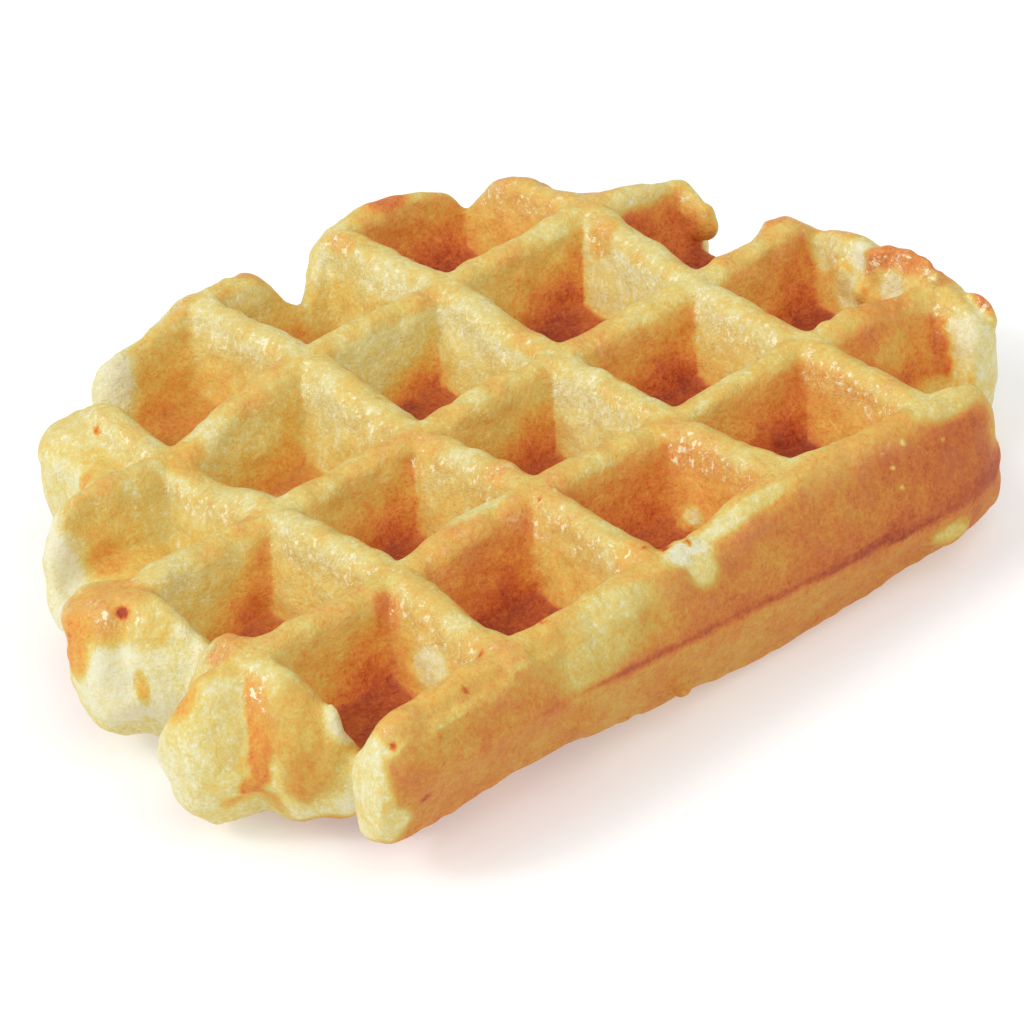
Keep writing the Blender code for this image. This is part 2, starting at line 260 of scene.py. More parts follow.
# Lumps of dough on the surface: (u, v, height, half length along u, v and height).
LUMPS = [
    (0.70, 2.07, 0.030, 0.18, 0.040, 0.030),  # torn flap on a ridge
    (3.72, 3.05, -0.03, 0.11, 0.07, 0.045),  # knob at the back
    (3.74, 3.90, -0.16, 0.08, 0.14, 0.10),  # rim of the last pocket at the back
    (3.73, 3.72, -0.24, 0.07, 0.14, 0.14),
    (-1.10, 3.08, -0.14, 0.22, 0.20, 0.13),  # left lobe
    (-0.13, 4.60, -0.20, 0.19, 0.20, 0.12),  # lobe above it
    (-0.84, 1.42, -0.15, 0.04, 0.06, 0.08),  # torn edge beside the gap
    (-0.85, 1.38, -0.30, 0.04, 0.05, 0.07),
    (2.90, 0.80, -0.68, 0.15, 0.07, 0.06),  # dough squeezed out below the seam
    (0.30, 0.80, -0.50, 0.08, 0.04, 0.04),
    (0.98, 0.83, -0.70, 0.06, 0.04, 0.03),
    (3.90, 2.42, -0.04, 0.05, 0.05, 0.04),  # burnt sugar along the right edge
    (3.94, 2.33, -0.01, 0.06, 0.05, 0.05),
    (3.99, 2.24, -0.02, 0.05, 0.06, 0.05),
    (4.03, 2.12, -0.05, 0.04, 0.06, 0.05),
    (3.88, 2.36, -0.12, 0.04, 0.05, 0.05),
    (4.00, 2.00, -0.07, 0.06, 0.04, 0.04),
    (4.09, 1.74, -0.22, 0.030, 0.13, 0.10),  # loose flake
    (3.81, 2.56, -0.20, 0.04, 0.06, 0.08),  # torn crumb
    (3.80, 2.42, -0.26, 0.05, 0.05, 0.06),
    (3.84, 2.66, -0.12, 0.03, 0.04, 0.07),
    (1.72, 1.60, -0.365, 0.05, 0.06, 0.04),  # melted lump of sugar in a pocket
    (1.78, 1.54, -0.34, 0.035, 0.05, 0.05),
]

# Odd numbers that scatter the noise.
SCATTER = (73856093, 19349663, 83492791, 2654435761, 1274126177, 2246822519)


# ---------------------------------------------------------------- small helpers
def smooth_step(low, high, x):
    t = np.clip((x - low) / (high - low), 0, 1)
    return t * t * (3 - 2 * t)


def mix(a, b, t):
    return a * (1 - t) + b * t


def smooth_max(a, b, k):
    h = np.clip(0.5 + 0.5 * (a - b) / k, 0, 1)
    return b + (a - b) * h + k * h * (1 - h)


def smooth_min(a, b, k):
    return -smooth_max(-a, -b, k)


def lattice_noise(u, v, z, size, seed):
    """Smooth noise from -1 to 1 with features of about this size."""
    u, v, z = np.broadcast_arrays(u / size, v / size, z / size)
    cell = [np.floor(c).astype(np.int64) for c in (u, v, z)]
    part = [c - k for c, k in zip((u, v, z), cell)]
    part = [p * p * (3 - 2 * p) for p in part]
    total = np.zeros(u.shape)
    for i in (0, 1):
        for j in (0, 1):
            for k in (0, 1):
                h = (cell[0] + i) * SCATTER[0] ^ (cell[1] + j) * SCATTER[1]
                h = h ^ (cell[2] + k) * SCATTER[2] ^ seed * SCATTER[3]
                h = (h ^ (h >> 13)) * SCATTER[4] & 0xFFFFFFFF
                h = ((h ^ (h >> 15)) * SCATTER[5]) & 0xFFFFFFFF
                value = ((h ^ (h >> 16)) & 0xFFFFFF) / 0x7FFFFF - 1
                weight = (part[0] if i else 1 - part[0]) * (part[1] if j else 1 - part[1])
                total += value * weight * (part[2] if k else 1 - part[2])
    return total


def layered_noise(u, v, z, size, seed, layers=3):
    total, share = 0, 1.0
    for layer in range(layers):
        total = total + share * lattice_noise(u, v, z, size / 2**layer, seed + 17 * layer)
        share *= 0.5
    return total / (2 - 0.5 ** (layers - 1))


# ---------------------------------------------------------------- shape of the dough
def closed_curve(points, steps):
    """A smooth closed curve through the points, with this many steps between two of them."""
    p = np.array(points, float)
    a, b, c, d = (np.roll(p, k, 0) for k in (1, 0, -1, -2))
    t = (np.arange(steps) / steps)[None, :, None]
    a, b, c, d = (q[:, None, :] for q in (a, b, c, d))
    bend, twist = 2 * a - 5 * b + 4 * c - d, 3 * b - a - 3 * c + d
    curve = 0.5 * (2 * b + (c - a) * t + bend * t**2 + twist * t**3)
    return curve.reshape(-1, 2)


def depth_inside(curve, u, v):
    """How far each point lies inside the closed curve, negative outside."""
    best = np.full(u.shape, 1e9)
    inside = np.zeros(u.shape, bool)
    for (au, av), (bu, bv) in zip(curve, np.roll(curve, -1, 0)):
        du, dv = bu - au, bv - av
        t = np.clip(((u - au) * du + (v - av) * dv) / max(du * du + dv * dv, 1e-12), 0, 1)
        best = np.minimum(best, (u - au - t * du) ** 2 + (v - av - t * dv) ** 2)
        if av != bv:
            inside ^= ((av > v) != (bv > v)) & (u < du * (v - av) / dv + au)
    return np.where(inside, 1, -1) * np.sqrt(best)


def to_grid(u, v):
    """Plan positions as the uneven pocket grid has them, and how much the ridge tops rise there."""
    du, dv, rise = (np.zeros(np.shape(u)) for _ in range(3))
    for (i, j), (along_u, along_v, up) in UNEVEN.items():
        weight = np.exp(-((u - i) ** 2 + (v - j) ** 2) / (2 * UNEVEN_REACH**2))
        du, dv, rise = du + along_u * weight, dv + along_v * weight, rise + up * weight
    for at_u, at_v, reach, fall in DIPS:
        rise = rise - fall * np.exp(-((u - at_u) ** 2 + (v - at_v) ** 2) / (2 * reach**2))
    du = du + GRID_WAVER * lattice_noise(u, v, 0 * u, 0.45, 3)
    dv = dv + GRID_WAVER * lattice_noise(u, v, 0 * u, 0.45, 4)
    rise = rise + TOP_WAVER * lattice_noise(u, v, 0 * u, 0.5, 5)
    return u - du, v - dv, rise


def seam_height(u):
    return SEAM_LEFT + SEAM_FALL * u


def pocket_depth(gu, gv, full):
    """Depth of the pocket at each place, where an ordinary one is this deep."""
    depth = np.full(np.shape(gu), full)
    column, row = np.floor(gu).astype(int), np.floor(gv).astype(int)
    outside = (column < COLUMNS[0]) | (column > COLUMNS[-1]) | (row < ROWS[0]) | (row > ROWS[-1])
    depth[outside] = 0.0
    for cell in EMPTY_CELLS:
        depth[(column == cell[0]) & (row == cell[1])] = 0.0
    for cell, deep in SHALLOW.items():
        depth[(column == cell[0]) & (row == cell[1])] = deep * full / TOP_DEPTH
    return depth


def stud_side(gu, gv, below, depth):
    """Negative inside the iron's studs. below is the height over the ridge tops on that side."""
    a = 0.5 - np.abs(gu - np.round(gu))
    b = 0.5 - np.abs(gv - np.round(gv))
    in_joined = (np.floor(gv) == JOINED[1]) & (gu < JOINED[0] + 0.5)
    a = np.where(in_joined, 0.0, a)
    corner = 0.02 + 0.06 * np.clip(-below / TOP_DEPTH, 0, 1)
    waver = WALL_WAVER * layered_noise(gu, gv, 0 * gu, 0.30, 41)
    wall = (smooth_max(a, b, corner) - (0.5 - RIDGE_HALF) + waver) * math.cos(LEAN) - below * math.sin(LEAN)
    return smooth_max(wall, -(below + depth), 0.035)


def underside_rise(u, v):
    """How far the underside stands clear of the plate."""
    along = 0.24 * smooth_step(1.9, 0.0, u) + 0.02 * smooth_step(-0.4, -0.8, u)
    rise = along * smooth_step(1.6, 0.9, v)
    for at_u, at_v, reach, height in UNDERSIDE_RISES:
        rise = rise + height * np.exp(-((u - at_u) ** 2 + (v - at_v) ** 2) / (2 * reach**2))
    return rise


def parts_of_field(u, v, z, inside):
    """The faces that bound the dough, each negative inside it."""
    gu, gv, rise = to_grid(u, v)
    off_line = np.minimum(np.abs(gu - np.round(gu)), np.abs(gv - np.round(gv)))
    top_z = z - rise - RIDGE_LIFT + RIDGE_CROWN * np.clip(off_line / RIDGE_HALF, 0, 1) ** 2
    bottom_z = -(z + THICKNESS)
    # The rims are sharp but for the puffed dough at the right end.
    edge = 0.030 + 0.14 * np.exp(-((u - 4.05) ** 2 + (v - 1.55) ** 2) / (2 * 0.3**2))
    top_studs = stud_side(gu, gv, top_z, pocket_depth(gu, gv, TOP_DEPTH))
    pressed_top = smooth_max(top_z, -top_studs, edge)
    bottom_studs = stud_side(gu, gv, bottom_z, pocket_depth(gu, gv, BOTTOM_DEPTH))
    pressed_bottom = smooth_max(bottom_z, -bottom_studs, 0.07)
    pressed_bottom = smooth_max(pressed_bottom, bottom_z + underside_rise(u, v), 0.05)
    lean = (z - MIDDLE) / 0.5
    lobes = smooth_step(-0.80, -1.05, u)
    roundness = np.where(lean > 0, 0.17 + 0.08 * lobes, 0.10 + 0.14 * lobes)
    waver = FREE_WAVER * lattice_noise(u, v, z, 0.38, 51)
    free = 0.9 * (roundness * np.abs(lean) ** 2.5 - inside + waver)
    slope = (z - seam_height(u)) * math.sin(SIDE_DRAFT)
    side_above = (SIDE_V - v) * math.cos(SIDE_DRAFT) + slope
    side_below = (SIDE_V - v) * math.cos(SIDE_DRAFT) - slope
    return pressed_top, pressed_bottom, free, side_above, side_below


def lump(u, v, z, centre, sizes):
    """Roughly the distance from an ellipsoid, negative inside it."""
    far = sum(((p - c) / r) ** 2 for p, c, r in zip((u, v, z), centre, sizes))
    return (np.sqrt(far) - 1) * min(sizes)


def field(u, v, z, inside):
    """Negative inside the dough."""
    top, bottom, free, above, below = parts_of_field(u, v, z, inside)
    value = smooth_max(top, bottom, FLAT_BLEND)
    value = smooth_max(value, free, FREE_BLEND)
    value = smooth_max(value, above, RIM_BLEND)
    value = smooth_max(value, below, FOOT_BLEND)
    for at_u, at_v, at_z, *sizes in LUMPS:
        i = np.abs(u[:, 0, 0] - at_u) < sizes[0] + 0.3
        j = np.abs(v[0, :, 0] - at_v) < sizes[1] + 0.3
        part = np.ix_(i, j, np.ones(z.shape[2], bool))
        added = lump(u[i], v[:, j], z, (at_u, at_v, at_z), sizes)
        value[part] = smooth_min(value[part], added, LUMP_BLEND)
    return value


def surface_of(values, origin, step):
    """The zero surface of a grid of values, as points and four-sided faces."""
    inside = values < 0
    shape = np.array(values.shape)
    corners = [(i, j, k) for i in (0, 1) for j in (0, 1) for k in (0, 1)]
    count = np.zeros(shape - 1, np.int8)
    for i, j, k in corners:
        count += inside[i:shape[0] - 1 + i, j:shape[1] - 1 + j, k:shape[2] - 1 + k]
    active = (count > 0) & (count < 8)
    index = np.full(active.shape, -1, np.int64)
    cell = np.argwhere(active)
    index[tuple(cell.T)] = np.arange(len(cell))
    at = {c: values[tuple((cell + c).T)] for c in corners}
    total, hits = np.zeros((len(cell), 3)), np.zeros(len(cell))
    for c in corners:
        for axis in range(3):
            if c[axis]:
                continue
            end = tuple(1 if k == axis else c[k] for k in range(3))
            crosses = (at[c] < 0) != (at[end] < 0)
            share = np.where(crosses, at[c] / np.where(crosses, at[c] - at[end], 1), 0)
            point = np.tile(np.array(c, float), (len(cell), 1))
            point[:, axis] += share
            total += point * crosses[:, None]
            hits += crosses
    points = (total / hits[:, None] + cell) * step + origin
    faces = []
    for axis in range(3):
        low = [slice(1, n - 1) for n in shape]
        low[axis] = slice(0, shape[axis] - 1)
        high = list(low)
        high[axis] = slice(1, shape[axis])
        start = inside[tuple(low)]
        cut = start != inside[tuple(high)]
        edge = np.argwhere(cut) + [0 if k == axis else 1 for k in range(3)]
        first, second = (axis + 1) % 3, (axis + 2) % 3
        ring = []
        for a, b in ((1, 1), (0, 1), (0, 0), (1, 0)):
            near = edge.copy()
            near[:, first] -= a
            near[:, second] -= b
            ring.append(index[tuple(near.T)])
        ring = np.stack(ring, 1)
        outward = start[cut]
        ring[~outward] = ring[~outward][:, ::-1]
        faces.append(ring)
    return points, np.concatenate(faces)


def vertex_normals(points, faces):
    p = points[faces]
    normal = np.cross(p[:, 2] - p[:, 0], p[:, 3] - p[:, 1])
    total = np.zeros_like(points)
    for k in range(4):
        np.add.at(total, faces[:, k], normal)
    return total / (np.linalg.norm(total, axis=1, keepdims=True) + 1e-12)


def evened(points, faces, share, rounds):
    """Moves each point towards the middle of its neighbours."""
    ends = np.concatenate([faces[:, [0, 1]], faces[:, [1, 2]], faces[:, [2, 3]], faces[:, [3, 0]]])
    count = np.bincount(ends[:, 0], minlength=len(points))[:, None]
    for _ in range(rounds):
        middle = np.zeros_like(points)
        for k in range(3):
            middle[:, k] = np.bincount(ends[:, 0], weights=points[ends[:, 1], k], minlength=len(points))
        points = points + share * (middle / count - points)
    return points


def mesh_piece(name, points, faces):
    """A piece from points in plan units."""
    metres = (points - [PLAN_CENTRE[0], PLAN_CENTRE[1], -THICKNESS]) * PITCH
    mesh = bpy.data.meshes.new(name)
    sides = faces.shape[1]
    mesh.vertices.add(len(metres))
    mesh.vertices.foreach_set("co", metres.astype(np.float32).ravel())
    mesh.loops.add(faces.size)
    mesh.loops.foreach_set("vertex_index", faces.astype(np.int32).ravel())
    mesh.polygons.add(len(faces))
    mesh.polygons.foreach_set("loop_start", np.arange(0, faces.size, sides, dtype=np.int32))
    mesh.update(calc_edges=True)
    mesh.shade_smooth()
    piece = bpy.data.objects.new(name, mesh)
    bpy.context.scene.collection.objects.link(piece)
    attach(piece, "root")
    return piece


# ---------------------------------------------------------------- the waffle
def waffle_surface():
    """Points and faces of the dough, and how far each point lies inside the outline."""
    low, high = (np.array(corner) for corner in SEARCH_BOX)
    u, v, z = (np.arange(a, b, STEP) for a, b in zip(low, high))
    plan_u, plan_v = np.meshgrid(u, v, indexing="ij")
    inside = depth_inside(closed_curve(OUTLINE, 6), plan_u, plan_v)
    inside += OUTLINE_WAVER * layered_noise(plan_u, plan_v, 0 * plan_u, 0.35, 11)
    trim = OUTLINE_TRIM * smooth_step(1.0, 1.5, plan_v)
    inside -= trim * smooth_step(-0.4, 0.2, plan_u) * smooth_step(3.95, 3.6, plan_u)
    values = field(u[:, None, None], v[None, :, None], z[None, None, :], inside[:, :, None])
    points, faces = surface_of(values, low, STEP)
    points = evened(points, faces, 0.5, 2)
    at = (points[:, :2] - low[:2]) / STEP
    cell = np.floor(at).astype(int)
    part = at - cell
    edge = sum(
        inside[cell[:, 0] + i, cell[:, 1] + j]
        * (part[:, 0] if i else 1 - part[:, 0]) * (part[:, 1] if j else 1 - part[:, 1])
        for i in (0, 1) for j in (0, 1)
    )
    return points, faces, edge


def pocket_tones(gu, gv, depth, normals, wobble, patchy):
    """Shade inside the pockets: far wall, right wall, the dark corner between them and the floor, and
    painted bounced light beside that corner.
    """
    column, row = np.floor(gu).astype(int), np.floor(gv).astype(int)
    far, right, corner, start = (np.full(gu.shape, tone) for tone in POCKET_TONES)
    for cell, tones in CELL_TONES.items():
        here = (column == cell[0]) & (row == cell[1])
        far[here], right[here], corner[here], start[here] = tones
    s, t = gu - column, gv - row
    nu, nv, nz = normals.T
    faces_far = smooth_step(0.25, 0.6, -nv) * smooth_step(-0.12, 0.12, np.abs(nv) - np.abs(nu))
    faces_right = smooth_step(0.25, 0.6, -nu) * smooth_step(-0.12, 0.12, np.abs(nu) - np.abs(nv))
    # Both walls grow darker with depth and towards the corner between them; on the far wall the darkening
    # is a wedge, darkest near the floor.
    to_corner = 1 - RIDGE_HALF - WALL_INSET * depth - s
    spread = 0.05 + CORNER_SPREAD * depth + 0.05 * wobble + 0.02 * patchy
    soft = 0.05 + 0.26 * depth
    dark = smooth_step(spread + soft, spread - soft, to_corner)
    dark = dark * smooth_step(start - 0.15, start + 0.25 + 0.5 * start, depth)
    # Painted light: beside the corner the far wall is lightened again, as if lit by light bounced off the
    # right wall.
    painted_bounce_light = 0.17 * smooth_step(0.16, 0.02, to_corner)
    painted_bounce_light = painted_bounce_light * smooth_step(0.30, 0.55, depth) * smooth_step(1.0, 0.75, depth)
    tone_far = far - 0.14 + 0.24 * depth - 0.05 * smooth_step(0.4, 0.1, s)
    tone_far = tone_far + 0.10 * smooth_step(0.75, 1.0, depth)
    tone_far = mix(tone_far, mix(corner - 0.26, corner, smooth_step(0.15, 0.95, depth)) - painted_bounce_light, dark)
    tone_right = right - 0.05 + 0.12 * depth + 0.05 * wobble
    tone_right = tone_right + 0.14 * smooth_step(0.62, 0.78, t) * smooth_step(0.7, 1.0, depth)
    beside_corner = smooth_step(0.11, 0.0, 1 - RIDGE_HALF - WALL_INSET * depth - t)
    beside_corner = 0.16 * (corner - right) * beside_corner
    tone_right = tone_right + beside_corner * smooth_step(start, start + 0.5, depth)
    other = 0.5 * (far + right) + 0.05 * depth
    wall = other + (tone_far - other) * faces_far + (tone_right - other) * faces_right
    floor = corner + 0.04 - (corner - right) * 0.15 * smooth_step(0.50, 0.80, s)
    floor = floor - 0.12 * smooth_step(0.6, 0.3, t)
    return mix(wall, floor, smooth_step(0.80, 0.97, depth) * smooth_step(0.55, 0.85, nz))


def with_local_tones(brown, u, v, z, mottle, patchy, fine):
    for at_u, at_v, at_z, reach_u, reach_v, reach_z, tone in LOCAL_TONES:
        far = ((u - at_u) / reach_u) ** 2 + ((v - at_v) / reach_v) ** 2 + ((z - at_z) / reach_z) ** 2
        share = np.exp(-far / 2)
        share = smooth_step(0.35, 0.75, share + 0.10 * patchy + 0.05 * fine)
        brown = mix(brown, tone + 0.06 * mottle + 0.06 * patchy, share)
    return brown


def with_spots(brown, u, v, z):
    """The browning with the small spots on it, and how much each point is part of one."""
    spotted = np.zeros(u.shape)
    for at_u, at_v, at_z, reach, tone in SPOTS:
        far = ((u - at_u) ** 2 + (v - at_v) ** 2 + (z - at_z) ** 2) / reach**2
        brown = mix(brown, tone, smooth_step(1.6, 0.5, far))
        spotted = np.maximum(spotted, smooth_step(2.2, 1.0, far))
    return brown, spotted


def browning(points, normals, edge):
    """How browned each point is, where sugar has melted on it, partly painted sheen, and where shade is
    painted on the crust.
    """
    u, v, z = points.T
    nu, nv, nz = normals.T
    gu, gv, rise = to_grid(u, v)
    top, bottom, free, above, below = parts_of_field(u, v, z, edge)
    pressed = np.maximum(np.maximum(top, bottom), np.maximum(above, below))
    contact = smooth_step(-0.075, 0.03, pressed - free + 0.02 * lattice_noise(u, v, z, 0.15, 27))
    on_side = smooth_step(-0.95, -0.90, u) * smooth_step(0.5, 0.8, -nv) * smooth_step(1.0, 0.93, v)
    contact = np.maximum(contact, on_side)
    depth = np.clip(-(z - rise) / TOP_DEPTH, 0, 1)
    upper = smooth_step(-0.55, -0.45, z)
    mottle = layered_noise(u, v, z, 0.55, 21)
    patchy = layered_noise(u, v, z, 0.28, 22)
    fine = layered_noise(u, v, z, 0.12, 23, 2)

    on_v_ridge = smooth_step(0.16, 0.06, np.abs(gu - np.round(gu)))
    ridge = 0.29 - 0.07 * on_v_ridge + 0.08 * smooth_step(2.4, 1.0, v) + 0.10 * smooth_step(1.12, 1.0, v)
    ridge = ridge + 0.14 * patchy + 0.12 * fine
    pocket = pocket_tones(gu, gv, depth, normals, mottle, patchy)
    brown = mix(ridge, pocket, smooth_step(0.02, 0.12, depth))
    under = 0.52 + 0.15 * smooth_step(0.1, 0.3, z + THICKNESS)
    under = mix(0.28, under, smooth_step(0.15, -0.35, nz))
    brown = mix(under, brown, upper)

    side = smooth_step(1.02, 0.86, v) * smooth_step(0.25, 0.7, -nv)
    seam = seam_height(u)
    front = 0.57 + 0.05 * smooth_step(0.5, 1.5, u) + 0.11 * smooth_step(1.7, 3.1, u)
    front = front - 0.12 * smooth_step(-0.04, 0.05, z - rise)
    # The dark line along the seam: partly browned crust, partly painted shadow of the crease.
    seam_burn_and_shadow = np.exp(-((z - seam) / SEAM_HALF) ** 2) * smooth_step(-0.25, 0.6, u)
    # A darker band just above the seam: painted shade.
    front = front + 0.11 * np.exp(-((z - seam - 0.05) / 0.07) ** 2) * smooth_step(-0.4, 0.6, u)
    front = front - 0.05 * smooth_step(-0.02, -0.06, z - seam) * smooth_step(-0.1, 0.4, u)
    brown = mix(brown, front, side)

    brown = np.maximum(brown + 0.10 * mottle + 0.12 * patchy + 0.08 * fine, CRUST_LEAST)
    cream = 0.07 + 0.07 * mottle + 0.07 * patchy + 0.04 * fine
    brown = mix(cream, brown, contact)
    brown = with_local_tones(brown, u, v, z, mottle, patchy, fine)
    # Paints the dark seam line: browned crust and painted shadow.
    brown = mix(brown, SEAM_BURN_AND_SHADOW_TONE + 0.06 * patchy, 0.85 * seam_burn_and_shadow * side)
    brown, spotted = with_spots(brown, u, v, z)

    # Sugar, partly painted sheen: strongest on the ridge shoulders that face the key light, where its
    # whitish specks stand in for glints.
    sheen_shoulder = smooth_step(0.15, 0.5, -nu) * smooth_step(0.55, 0.15, depth)
    sugar_and_sheen = 0.35 * smooth_step(0.4, 0.1, depth) + 0.75 * sheen_shoulder + 0.2 * smooth_step(0.3, 0.7, -nu)
    sugar_and_sheen = contact * upper * (1 - spotted) * np.clip(sugar_and_sheen + 0.25 * patchy + 0.2 * fine, 0, 1)
    # Painted shade: the straight side, the pocket floors and a face of the front lobe get their colour
    # darkened.
    on_floor = smooth_step(0.8, 1.0, depth) * smooth_step(0.5, 0.9, nz) * upper
    on_lobe = 0.7 * smooth_step(-0.80, -0.90, u) * smooth_step(1.75, 1.60, v) * smooth_step(1.2, 1.3, v)
    painted_shade = np.clip(side * contact + on_floor + on_lobe, 0, 1) * smooth_step(0.05, 0.35, brown)
    return np.clip(brown, 0, 1), np.clip(sugar_and_sheen, 0, 1), painted_shade


def box_in_plan():
    """The CAD body's box in plan units, which nothing may leave."""
    shift = np.array([PLAN_CENTRE[0], PLAN_CENTRE[1], -THICKNESS])
    return [np.array(corner) / PITCH + shift for corner in CAD_BOX]


def set_values(piece, name, values):
    layer = piece.data.attributes.new(name, "FLOAT", "POINT")
    layer.data.foreach_set("value", values.astype(np.float32))


def make_waffle():
    points, faces, edge = waffle_surface()
    normals = vertex_normals(points, faces)
    u, v, z = points.T
    lumps = sum(height * lattice_noise(u, v, z, size, seed) for height, size, seed in SKIN_LUMPS)
    points = points + normals * lumps[:, None]
    points = np.clip(points, *box_in_plan())
    normals = vertex_normals(points, faces)
    brown, sugar_and_sheen, painted_shade = browning(points, normals, edge)
    crust = crust_material()
    upper = points[faces, 2].mean(axis=1) > PARTED_AT
    for name, chosen in (("waffle_upper", upper), ("waffle_lower", ~upper)):
        used, own = np.unique(faces[chosen], return_inverse=True)
        piece = mesh_piece(name, points[used], own.reshape(-1, 4))
        piece.data.normals_split_custom_set_from_vertices(normals[used])
        set_values(piece, "brown", brown[used])
        set_values(piece, "sugar_and_sheen", sugar_and_sheen[used])
        set_values(piece, "painted_shade", painted_shade[used])
        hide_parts("waffle")
        piece.data.materials.append(crust)


# ---------------------------------------------------------------- materials
# Colours of the crust from bare dough to almost burnt, as (shade, red, green, blue) in linear light.
CRUST_COLOURS = [
    (0.00, 0.81, 0.78, 0.560), (0.06, 0.77, 0.70, 0.370), (0.12, 0.745, 0.62, 0.215),
    (0.25, 0.74, 0.52, 0.120), (0.38, 0.755, 0.44, 0.085), (0.50, 0.755, 0.36, 0.063),
    (0.62, 0.74, 0.275, 0.048), (0.74, 0.68, 0.195, 0.040), (0.86, 0.57, 0.120, 0.030),
    (1.00, 0.36, 0.050, 0.018),
]
# Whitish colour of sugar crystals, also painted on as sheen.
SUGAR_SHEEN_COLOUR = (0.93, 0.85, 0.54, 1.0)


class Nodes:
    """Short ways to add nodes to a material."""

    def __init__(self, name):
        self.material = bpy.data.materials.new(name)
        self.material.use_nodes = True
        self.tree = self.material.node_tree
        self.shader = self.tree.nodes["Principled BSDF"]

    def add(self, kind, **inputs):
        node = self.tree.nodes.new(kind)
        for key, value in inputs.items():
            self.put(node.inputs[key.replace("_", " ")], value)
        return node

    def put(self, socket, value):
        if isinstance(value, bpy.types.NodeSocket):
            self.tree.links.new(value, socket)
        else:
            socket.default_value = value

    def math(self, operation, a, b=0.0, clamp=False):
        node = self.tree.nodes.new("ShaderNodeMath")
        node.operation = operation
        node.use_clamp = clamp
        self.put(node.inputs[0], a)
        self.put(node.inputs[1], b)
        return node.outputs[0]

    def attribute(self, name):
        node = self.tree.nodes.new("ShaderNodeAttribute")
        node.attribute_name = name
        return node.outputs["Fac"]

    def noise(self, scale, detail=3.0, roughness=0.5, stretch=None):
        place = self.tree.nodes.new("ShaderNodeTexCoord").outputs["Object"]
        if stretch:
            mapping = self.tree.nodes.new("ShaderNodeMapping")
            mapping.inputs["Scale"].default_value = stretch
            self.tree.links.new(place, mapping.inputs["Vector"])
            place = mapping.outputs["Vector"]
        node = self.add("ShaderNodeTexNoise", Scale=scale, Detail=detail, Roughness=roughness, Vector=place)
        return node.outputs["Fac"]

    def range(self, value, low, high, to_low=0.0, to_high=1.0):
        node = self.tree.nodes.new("ShaderNodeMapRange")
        node.clamp = True
        for key, number in zip(("From Min", "From Max", "To Min", "To Max"), (low, high, to_low, to_high)):
            node.inputs[key].default_value = number
        self.put(node.inputs["Value"], value)
        return node.outputs["Result"]

    def ramp(self, value, stops):
        node = self.tree.nodes.new("ShaderNodeValToRGB")
        elements = node.color_ramp.elements
        while len(elements) < len(stops):
            elements.new(0.5)
        for element, (place, *colour) in zip(elements, stops):
            element.position = place
            element.color = (*colour, 1.0)
        self.put(node.inputs["Fac"], value)
        return node.outputs["Color"]

    def blend(self, share, a, b):
        node = self.tree.nodes.new("ShaderNodeMix")
        node.data_type = "RGBA"
        self.put(node.inputs["Factor"], share)
        self.put(node.inputs["A"], a)
        self.put(node.inputs["B"], b)
        return node.outputs["Result"]

    def bump(self, height, strength, distance, after=None):
        node = self.tree.nodes.new("ShaderNodeBump")
        node.inputs["Strength"].default_value = strength
        node.inputs["Distance"].default_value = distance
        self.put(node.inputs["Height"], height)
        if after is not None:
            self.put(node.inputs["Normal"], after)
        return node.outputs["Normal"]


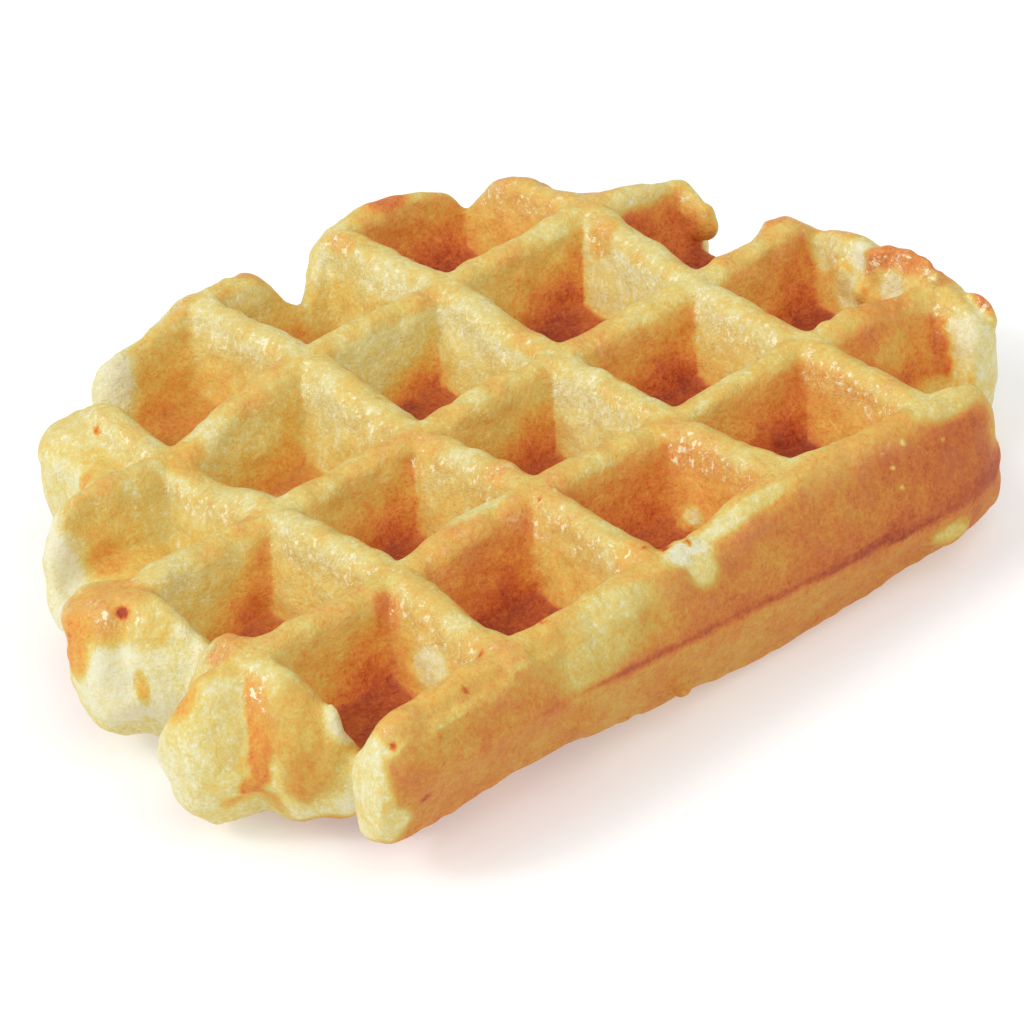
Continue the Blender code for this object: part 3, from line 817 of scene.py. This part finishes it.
def crust_material():
    n = Nodes("crust")
    brown, sugar_and_sheen, painted_shade = (n.attribute(name) for name in ("brown", "sugar_and_sheen", "painted_shade"))
    blotch = n.noise(420, 4, 0.6)
    grain = n.noise(1500, 3, 0.7)
    pores = n.noise(2400, 5, 0.75)
    streaks = n.noise(1100, 2, 0.6, stretch=(1.0, 1.0, 0.2))
    uneven = 0.0
    for source, strength in ((blotch, 0.34), (streaks, 0.30), (grain, 0.60), (pores, 0.80)):
        uneven = n.math("ADD", uneven, n.math("MULTIPLY", n.math("SUBTRACT", source, 0.5), strength))
    # Bare dough and dark crust are more even than golden crust, and so are the faces with painted shade.
    uneven = n.math("MULTIPLY", uneven, n.range(brown, 0.05, 0.25, 0.35, 1.0))
    uneven = n.math("MULTIPLY", uneven, n.range(brown, 0.50, 0.85, 1.0, 0.65))
    uneven = n.math("MULTIPLY", uneven, n.range(painted_shade, 0.0, 1.0, 1.0, 0.85))
    # Specks and crystals of sugar, partly painted sheen: the specks lighten the shade and a whitish colour
    # is blended in, most on the ridge shoulders that face the key light.
    sheen_speck = n.math("MULTIPLY", n.range(pores, 0.50, 0.58), sugar_and_sheen)
    sheen_speck = n.math("MULTIPLY", sheen_speck, n.range(blotch, 0.40, 0.56, 0.35, 1.0))
    uneven = n.math("SUBTRACT", uneven, n.math("MULTIPLY", sheen_speck, 0.20))
    shade = n.math("ADD", brown, uneven, clamp=True)
    colour = n.ramp(shade, CRUST_COLOURS)
    crystals_and_sheen = n.math("MULTIPLY", n.range(n.noise(800, 4, 0.7), 0.57, 0.63), n.range(sugar_and_sheen, 0.35, 0.9))
    crystals_and_sheen = n.math("MAXIMUM", crystals_and_sheen, n.math("MULTIPLY", sheen_speck, 0.28))
    colour = n.blend(crystals_and_sheen, colour, SUGAR_SHEEN_COLOUR)
    # Painted shade: the colour is darkened by up to 17 percent on the straight side, the pocket floors and
    # a lobe face.
    colour = n.blend(n.math("MULTIPLY", painted_shade, 0.17), colour, (0.0, 0.0, 0.0, 1.0))
    n.put(n.shader.inputs["Base Color"], colour)
    n.put(n.shader.inputs["Roughness"], n.range(sugar_and_sheen, 0, 1, 0.60, 0.42))
    n.shader.inputs["Subsurface Weight"].default_value = 0.08
    n.shader.inputs["Subsurface Radius"].default_value = (1.0, 0.5, 0.2)
    n.shader.inputs["Subsurface Scale"].default_value = 0.0008
    n.shader.inputs["Specular IOR Level"].default_value = 0.25
    wet = n.math("MULTIPLY", sugar_and_sheen, n.range(blotch, 0.35, 0.6))
    n.put(n.shader.inputs["Coat Weight"], wet)
    n.shader.inputs["Coat Roughness"].default_value = 0.16
    n.put(n.shader.inputs["Coat Normal"], n.bump(pores, 1.0, 0.00045, n.bump(grain, 1.0, 0.0007)))
    fine = n.bump(pores, 0.6, 0.00020)
    coarse = n.bump(grain, 0.5, 0.00040, fine)
    n.put(n.shader.inputs["Normal"], n.bump(blotch, 0.5, 0.0008, coarse))
    return n.material


def floor_material():
    n = Nodes("studio_floor")
    tone = n.noise(3, 2)
    n.put(n.shader.inputs["Base Color"], n.ramp(tone, [(0.3, 0.70, 0.70, 0.70), (0.7, 0.72, 0.72, 0.72)]))
    n.shader.inputs["Emission Color"].default_value = (1.0, 1.0, 1.0, 1.0)
    n.shader.inputs["Emission Strength"].default_value = FLOOR_GLOW
    n.shader.inputs["Roughness"].default_value = 0.9
    n.shader.inputs["Specular IOR Level"].default_value = 0.1
    return n.material


# ---------------------------------------------------------------- studio
CAMERA_AZIMUTH, CAMERA_ELEVATION, CAMERA_ROLL = (math.radians(a) for a in (-35.6, 34.4, -7.5))
CAMERA_TARGET = (0.836, 1.957, 0.0)  # in pitches, like the distance
CAMERA_DISTANCE = 26.69
CAMERA_LENS = 175.8  # millimetres, with a sensor 36 wide
SKY_STRENGTH = 0.515
FLOOR_GLOW = 0.31
FLOOR_HALF = 3.0  # metres, like the height
FLOOR_HEIGHT = -0.0002


def make_camera():
    back = Vector((
        math.sin(CAMERA_AZIMUTH) * math.cos(CAMERA_ELEVATION),
        -math.cos(CAMERA_AZIMUTH) * math.cos(CAMERA_ELEVATION),
        math.sin(CAMERA_ELEVATION),
    ))
    right = Vector((0, 0, 1)).cross(back).normalized()
    up = back.cross(right)
    c, s = math.cos(CAMERA_ROLL), math.sin(CAMERA_ROLL)
    right, up = c * right + s * up, c * up - s * right
    target = (Vector(CAMERA_TARGET) - Vector((*PLAN_CENTRE, -THICKNESS))) * PITCH
    camera = bpy.data.objects.new("camera", bpy.data.cameras.new("camera"))
    camera.data.sensor_width = 36
    camera.data.lens = CAMERA_LENS
    camera.data.clip_end = 20
    turn = Matrix((right, up, back)).transposed().to_4x4()
    camera.matrix_world = Matrix.Translation(target + back * CAMERA_DISTANCE * PITCH) @ turn
    bpy.context.scene.collection.objects.link(camera)
    bpy.context.scene.camera = camera
    return right, back


def add_sun(name, direction, strength, angle):
    light = bpy.data.lights.new(name, "SUN")
    light.energy = strength
    light.angle = math.radians(angle)
    lamp = bpy.data.objects.new(name, light)
    lamp.rotation_mode = "QUATERNION"
    lamp.rotation_quaternion = Vector(direction).to_track_quat("Z", "Y")
    bpy.context.scene.collection.objects.link(lamp)


def make_studio():
    right, back = make_camera()
    sky = Vector((0, 0, 1))
    from_left = -1.1 * right + 0.75 * sky + 0.35 * back
    add_sun("key", from_left, 1.23, 40)
    add_sun("glint", from_left, 0.44, 10)
    add_sun("fill", 0.55 * right + 0.75 * sky + 0.75 * back, 0.95, 60)
    world = bpy.data.worlds.new("studio")
    world.use_nodes = True
    world.node_tree.nodes["Background"].inputs["Color"].default_value = (1, 1, 1, 1)
    world.node_tree.nodes["Background"].inputs["Strength"].default_value = SKY_STRENGTH
    bpy.context.scene.world = world
    bpy.context.scene.view_settings.view_transform = "Standard"
    mesh = bpy.data.meshes.new("floor")
    low, high = -FLOOR_HALF, FLOOR_HALF
    corners = [(low, low), (high, low), (high, high), (low, high)]
    mesh.from_pydata([(*corner, FLOOR_HEIGHT) for corner in corners], [], [(0, 1, 2, 3)])
    floor = bpy.data.objects.new("floor", mesh)
    bpy.context.scene.collection.objects.link(floor)
    mesh.materials.append(floor_material())


make_waffle()
make_studio()

bpy.context.view_layer.update()
